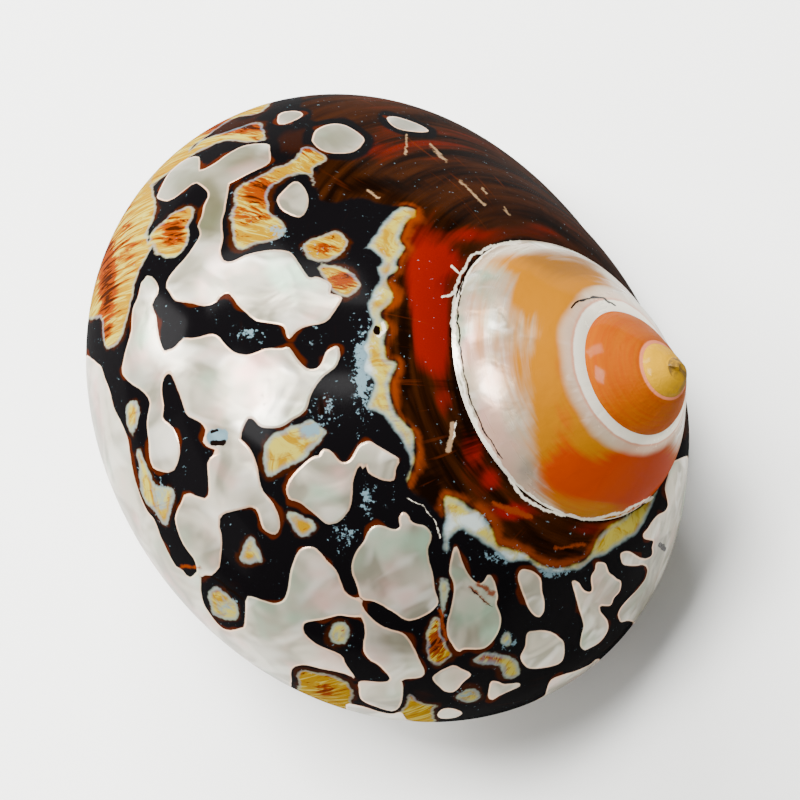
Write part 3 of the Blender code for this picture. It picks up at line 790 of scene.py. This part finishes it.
BLACK, BLACK_WORN = tone(7, 6, 7), tone(66, 70, 74)
BROWN_RIM, PINK_RIM = tone(52, 15, 1), tone(224, 176, 138)
# Pearl: its own tone, then a painted shade and a painted light for its ripples.
PEARL, PEARL_SHADE, PEARL_WHITE = tone(164, 157, 140), tone(118, 114, 98), tone(196, 192, 180)
# Rose and green tones of painted iridescent sheen on the pearl.
PEARL_ROSE_SHEEN, PEARL_GREEN_SHEEN = tone(192, 138, 130), tone(126, 156, 130)
CREAM, CREAM_YELLOW, CREAM_BLUE = tone(150, 138, 52), tone(128, 94, 0), tone(92, 116, 124)
RUST, UMBER = tone(104, 38, 0), tone(40, 13, 1)
BROWN, DEEP_BROWN, RED = tone(40, 16, 3), tone(9, 3, 1), tone(98, 6, 0)
# The first tone below is painted shade on the pearl; the other two are the shell's own colours.
PEARL_OLIVE_SHADE, SPIRE_OLIVE, CREAM_WHITE = tone(78, 76, 52), tone(86, 54, 12), tone(160, 172, 172)
SPIRE_AMBER, SPIRE_ORANGE, SPIRE_THIRD = tone(134, 82, 0), tone(136, 42, 0), tone(130, 54, 0)
SPIRE_YELLOW, SPIRE_CREAM, SPIRE_PINK = tone(158, 116, 0), tone(208, 201, 182), tone(180, 104, 74)
LIP_WHITE, TIP_BROWN, SPIRE_TAN = tone(206, 202, 190), tone(92, 70, 34), tone(142, 114, 84)
SPIRE_ROSE = tone(188, 158, 134)

shell_finish = Finish("turban_shell_finish")
node, field, noise, strokes = shell_finish.node, shell_finish.field, shell_finish.noise, shell_finish.strokes
rise, blend, greater = shell_finish.rise, shell_finish.blend, shell_finish.greater
vector_maths = shell_finish.vector_maths
at = node("ShaderNodeTexCoord", output=3)
seen = field("seen")
turn, side, whorl_size = (field(name) for name in ("turn", "side", "whorl_size"))
dark_glow = field("dark_glow")
red_glow, rust_glow = field("red_glow"), field("rust_glow")
blue_glow, rose_sheen_glow = field("blue_glow"), field("rose_sheen_glow")


def with_growth(per_turn, per_side):
    """A place for noise that follows the whorl: turn and side, each times its grain."""
    return node("ShaderNodeCombineXYZ", {}, {"X": turn * per_turn, "Y": side * per_side, "Z": 0.0})


streak = noise(with_growth(1.2, 16), 1, 3, 0.6, 0.4)
growth_line = noise(with_growth(24, 2.4), 1, 2, 0.65, 0.3)
wander = noise(at, 700, 2, 0.6) - 0.5
slow_wander = noise(at, 160, 2) - 0.5
fine_speck = noise(at, 1500, 2, 0.75)
speck = noise(at, 520, 3, 0.7, 1.0)

# Where the photograph can't see, the patches are cells with uneven gaps, pushed about so no two are alike.
bend = node("ShaderNodeTexNoise", {}, {"Vector": at, "Scale": 120, "Detail": 2.0}, output=1)
bend = vector_maths("SCALE", {0: bend, "Scale": 0.007})
bent_at = vector_maths("ADD", {0: at, 1: bend})
cell_edge = node("ShaderNodeTexVoronoi", {"feature": "DISTANCE_TO_EDGE"}, {"Vector": bent_at, "Scale": 78.0})
hidden_pearl = cell_edge * 11.5 - 1.2 + slow_wander * 3.2
pearl_depth = field("pearl") * seen + hidden_pearl * (1 - seen) + wander * 0.16
pearl_mask = rise(pearl_depth, -0.05, 0.05)
pink_mask = rise(pearl_depth, -0.05, 0.04) * (1 - rise(pearl_depth, 0.10, 0.30))
brown_width = rise(noise(at, 190, 2), 0.46, 0.70) * 0.8 + 0.02
brown_mask = rise(pearl_depth + brown_width, -0.05, 0.30)

amber_depth = field("amber_field") + wander * 0.6 + (streak - 0.5) * 0.8
amber_mask = rise(amber_depth, -0.2, 0.5)
yellow_depth = field("yellow_patch") + wander * 0.9
yellow_mask = rise(yellow_depth, -0.12, 0.2)
pale_depth = field("pale_patch") + wander * 0.9
pale_mask = rise(pale_depth, -0.12, 0.2)
band_depth = field("cream_band") + wander * 0.7
band_mask = rise(band_depth, -0.15, 0.35)

# The black layer, with brown glimmering through and small grey scratches and pits.
scuffs = rise(speck + blue_glow * 0.16, 0.62, 0.74) * rise(fine_speck, 0.40, 0.60)
colour = blend(scuffs * rise(blue_glow + slow_wander, 0.0, 0.8), BLACK, BLACK_WORN)
colour = blend(rise(streak + rust_glow * 0.3, 0.60, 0.85) * 0.45, colour, UMBER)

# The brown layer next to the spire: streaks that follow the whorl, fiery red where it is thinnest.
amber = blend(rise(streak, 0.34, 0.66), DEEP_BROWN, BROWN)
red_share = rise(red_glow + (streak - 0.5) * 1.3 - dark_glow * 0.6, 0.1, 0.8)
amber = blend(red_share, amber, RED)
dark_share = rise(dark_glow + (growth_line - 0.5) * 0.9, 0.3, 0.9)
amber = blend(dark_share, amber, DEEP_BROWN)
amber = blend(rise(growth_line, 0.62, 0.75) * 0.20, amber, RUST)
colour = blend(amber_mask, colour, amber)
black_ring = rise(pearl_depth + slow_wander * 0.8, -1.5, -0.9)
colour = blend(black_ring, colour, BLACK)

# The cream layer: yellow and rust mottling, bluish where black begins to cover it.
mottle = noise(at, 300, 3, 0.65, 1.4)
cream = blend(rise(mottle, 0.42, 0.60), CREAM, CREAM_YELLOW)
feather = noise(with_growth(46, 11), 1, 3, 0.65, 1.2)
yellow = blend(rise(feather, 0.36, 0.52), CREAM, CREAM_YELLOW)
rust_share = rise(rust_glow + (feather - 0.5) * 3.4, 0.25, 0.85)
yellow = blend(rust_share, yellow, RUST)
yellow = blend(rise(rust_glow * 0.6 + (feather - 0.5) * 4, 0.62, 1.0), yellow, UMBER)
yellow_rim = 1 - rise(yellow_depth, 0.1, 0.5)
yellow = blend(yellow_rim * 0.55, yellow, CREAM_BLUE)
patch_depth = greater(yellow_depth, pale_depth) + slow_wander * 2.4 + (speck - 0.5) * 0.8
patch_fringe = rise(patch_depth, -0.5, 0.05)
colour = blend(patch_fringe * 0.9, colour, UMBER)
colour = blend(yellow_mask, colour, yellow)
pale = blend(rust_share, cream, RUST)
pale_rim = 1 - rise(pale_depth, 0.1, 0.8)
blue_share = rise(blue_glow + (speck - 0.5) * 1.6, 0.2, 0.9)
pale = blend(greater(pale_rim * 0.7, blue_share), pale, CREAM_BLUE)
colour = blend(pale_mask, colour, pale)
band = blend(rise(mottle, 0.40, 0.65), CREAM, CREAM_YELLOW)
band = blend(rust_share * 0.6, band, RUST)
band_blue = (1 - rise(band_depth, 0.0, 0.9)) * (1 - rise(amber_depth, -0.6, 0.2))
band = blend(blue_share * 0.9, band, CREAM_WHITE)
band = blend(band_blue * 0.85, band, CREAM_BLUE)
colour = blend(band_mask, colour, band)
fringe = rise(band_depth + slow_wander * 3 + (streak - 0.5) * 2, -1.3, -0.1) * amber_mask * (1 - band_mask)
colour = blend(fringe * 0.75, colour, RUST)
pits = rise(blue_glow * 1.3 + (fine_speck - 0.5) * 3.5, 0.62, 1.05)
covered = (1 - pale_mask) * (1 - band_mask)
colour = blend(pits * covered * 0.85, colour, CREAM_BLUE)

# Mother-of-pearl: darker clouds and whiter streaks, partly its own uneven tone and partly painted shade in the
# hollows of its ripples and painted light on their crests; rose and green tints painted as its iridescent
# sheen;
# darker olive patches painted as shade; and its brown and pink edge.
colour = blend(brown_mask * (1 - pale_mask), colour, BROWN_RIM)
cloud = noise(at, 150, 2, 0.5, 0.9)
grown = noise(with_growth(9, 6), 1, 1, 0.5, 0.7)
# Darker clouds and whiter streaks over the pearl's own tone: painted shade in the ripples' hollows, painted
# light on their crests.
pearl = blend(rise(cloud, 0.38, 0.62), PEARL_SHADE, PEARL)
pearl = blend(rise(grown, 0.50, 0.72) * 0.6, pearl, PEARL_WHITE)
# Rose and green tints: painted iridescent sheen, the same from every side.
pearl = blend(rise(rose_sheen_glow + slow_wander * 3.0, 0.1, 0.9) * 0.6, pearl, PEARL_ROSE_SHEEN)
green_sheen_share = rise(field("green_sheen_glow") - slow_wander * 3.0, 0.1, 0.9)
pearl = blend(green_sheen_share * 0.75, pearl, PEARL_GREEN_SHEEN)
# Darker olive patches of pearl: painted shade.
olive_shade_share = rise(field("olive_shade_glow") + slow_wander * 0.5, 0.05, 0.95)
pearl = blend(olive_shade_share * 0.9, pearl, PEARL_OLIVE_SHADE)
pink_share = pink_mask * (rise(slow_wander, -0.15, 0.15) * 0.45 + 0.35)
pearl_patch = blend(pink_share, pearl, PINK_RIM)
colour = blend(pearl_mask, colour, pearl_patch)

# The spire, polished right through to pearl and stained amber, orange and yellow towards its tip.
penult_end, third_end, fourth_end = (MOUTH_TURN - whorls * FULL_TURN for whorls in (1, 2, 3))
older = 1 - rise(turn, penult_end - 0.01, penult_end + 0.01)
third = 1 - rise(turn, third_end - 0.2, third_end + 0.2)
fourth = 1 - rise(turn, fourth_end - 0.2, fourth_end + 0.2)
amber_glow, orange_glow = field("amber_glow"), field("orange_glow")
stain = (streak - 0.5) * 0.9 + slow_wander * 0.4
below_band = rise(side + slow_wander * 0.12, 0.12, 0.24) * 0.75 + 0.25
stained = rise(amber_glow + stain, 0.05, 0.7) * below_band
spire = blend(rise(cloud, 0.35, 0.6) * 0.5, pearl, SPIRE_TAN)
spire = blend(stained, spire, SPIRE_AMBER)
orange_share = rise(orange_glow + stain, 0.2, 0.9) * below_band
spire = blend(orange_share, spire, SPIRE_ORANGE)
stained = greater(stained, orange_share)
spire = blend(0.8 - below_band * 0.8, spire, SPIRE_ROSE)
olive_share = rise(rust_glow + stain, 0.15, 1.0)
spire = blend(olive_share * 0.6, spire, SPIRE_OLIVE)
rough_side = side + (wander * 0.02)
top_edge = 1 - rise(rough_side, 0.085, 0.10)
spire = blend((1 - rise(rough_side, 0.10, 0.125)) * 0.5, spire, SPIRE_PINK)
spire = blend(top_edge, spire, SPIRE_CREAM)
low_edge = rise(side + wander * 0.05, 0.975, 0.985)
spire = blend(low_edge * 0.9, spire, SPIRE_CREAM)
inner = blend(rise(streak, 0.3, 0.7) * 0.3, SPIRE_THIRD, SPIRE_AMBER)
inner = blend(1 - rise(rough_side, 0.05, 0.08), inner, SPIRE_PINK)
spire = blend(third, spire, inner)
stained = greater(stained, third)
spire = blend(fourth, spire, SPIRE_YELLOW)
tip = 1 - rise(whorl_size, 0.036, 0.052)
spire = blend(tip * rise(speck, 0.3, 0.6), spire, TIP_BROWN)
crack = (1 - rise(side + (speck - 0.5) * 0.05, 0.004, 0.014)) * rise(speck, 0.35, 0.5)
colour = blend(crack, colour, DEEP_BROWN)
colour = blend(older, colour, spire)

# Chips, scratches, and the crack along the suture, darkened by painted shade where the whorl above overhangs
# it.
spot = node("ShaderNodeAttribute", {"attribute_name": "picture_place"}, output=1)
sway = node("ShaderNodeTexNoise", {}, {"Vector": at, "Scale": 620.0, "Detail": 2.0}, output=1)
sway = vector_maths("MULTIPLY_ADD", {0: sway, 1: (6, 6, 0), 2: (-3.0, -3.0, 0)})
spot = vector_maths("ADD", {0: spot, 1: sway})
ragged = (fine_speck - 0.5) * 4.0
rust_strokes = strokes(spot, RUST_STROKES, ragged * 1.6, 1.6) * seen
colour = blend(rust_strokes * 0.9, colour, RUST)
blue_strokes = strokes(spot, BLUE_STROKES, ragged * 1.4, 0.8) * seen
colour = blend(blue_strokes, colour, CREAM_BLUE)
tan_strokes = strokes(spot, TAN_STROKES, ragged * 1.3, 1.0) * seen
colour = blend(tan_strokes * 0.75, colour, SPIRE_TAN)
pale_strokes = strokes(spot, PALE_STROKES, ragged, 0.6) * seen
colour = blend(pale_strokes * 0.9, colour, SPIRE_CREAM)
# Dark marks, and painted shade along the suture.
dark_and_shade_strokes = strokes(spot, DARK_AND_SHADE_STROKES, ragged * 0.5, 0.5) * seen
colour = blend(dark_and_shade_strokes, colour, DEEP_BROWN)
inside = rise(side, 5, 6)
cut_face = 1 - rise(side, -0.6, -0.4)
colour = blend(greater(inside, cut_face), colour, LIP_WHITE)

bare = greater(pearl_mask * (1 - older), older * (1 - stained))
nacre = rise(field("pearl"), -0.3, 0.3)
nacre = greater(nacre, (1 - seen) * 0.5 + older)
relief = cloud * (nacre * 0.34 + 0.04) + grown * nacre * (0.5 - older * 0.34)
RIPPLE_HEIGHT = 0.00035
ripple = node("ShaderNodeBump", {}, {"Strength": 1.0, "Distance": RIPPLE_HEIGHT, "Height": relief})
POLISHED, WORN, DARK_STROKE_ROUGHNESS, PEARLY, SHEEN = 0.15, 0.25, 0.3, 0.13, 0.38
gloss = POLISHED + scuffs * WORN + dark_and_shade_strokes * DARK_STROKE_ROUGHNESS + bare * PEARLY
coat = bare * 0.24 + older * 0.05 + 0.018
surface = node("ShaderNodeBsdfPrincipled", {}, {
    "Base Color": colour, "Roughness": gloss, "Metallic": bare * SHEEN, "IOR": 1.45, "Specular IOR Level": 0.0,
    "Coat Weight": coat, "Coat IOR": 1.6, "Coat Roughness": 0.12, "Normal": ripple})
node("ShaderNodeOutputMaterial", {}, {"Surface": surface})
shell_mesh.materials.clear()
shell_mesh.materials.append(shell_finish.material)
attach(shell, "root")
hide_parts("shell")

# The table: a plain board painted matt white, lying flat under the shell, and large enough to fill every view.
# It is the stage that the shell rests on.
TABLE_REACH = 1.5
table_mesh = bpy.data.meshes.new("table_top")
table_mesh.from_pydata([(x, y, 0) for x, y in ((-1, -1), (1, -1), (1, 1), (-1, 1))], [], [(0, 1, 2, 3)])
table_mesh.transform(Matrix.Scale(TABLE_REACH, 4))
table_top = bpy.data.objects.new("table_top", table_mesh)
bpy.context.scene.collection.objects.link(table_top)
table_finish = Finish("table_paint")
table_at = table_finish.node("ShaderNodeTexCoord", output=3)
PAINT_PALE, PAINT_DIM, PAINT_ROUGHNESS = tone(246, 246, 242), tone(243, 243, 239), 0.6
table_shade = table_finish.blend(table_finish.noise(table_at, 30, 2), PAINT_PALE, PAINT_DIM)
table_sockets = {"Base Color": table_shade, "Roughness": PAINT_ROUGHNESS}
table_surface = table_finish.node("ShaderNodeBsdfPrincipled", {}, table_sockets)
table_finish.node("ShaderNodeOutputMaterial", {}, {"Surface": table_surface})
table_mesh.materials.append(table_finish.material)

# The light: a broad window behind the shell and one on its left, seen as soft bright patches on every curve,
# a panel overhead, a weak fill from the left, and the pale room all round. Place, size in metres, and watts.
WINDOW_LIGHTS = [
    ("window", (-0.20, 0.55, 0.58), (0.46, 0.22), 11.0),
    ("overhead", (-0.16, 0.06, 0.80), (0.34, 0.26), 16.0),
    ("side_window", (-0.64, 0.28, 0.40), (0.22, 0.36), 13.0),
    ("fill", (-0.75, -0.45, 0.45), (0.8, 0.5), 5.0),
]
for name, location, extent, power in WINDOW_LIGHTS:
    light = bpy.data.lights.new(name, "AREA")
    light.shape, light.size, light.size_y, light.energy = "RECTANGLE", extent[0], extent[1], power
    lamp = bpy.data.objects.new(name, light)
    lamp.location = location
    lamp.rotation_euler = (-lamp.location).to_track_quat("-Z", "Y").to_euler()
    bpy.context.scene.collection.objects.link(lamp)
ROOM_LIGHT = 0.30
room = bpy.data.worlds.new("room")
room.use_nodes = True
room.node_tree.nodes["Background"].inputs["Color"].default_value = (1, 1, 1, 1)
room.node_tree.nodes["Background"].inputs["Strength"].default_value = ROOM_LIGHT
bpy.context.scene.world = room
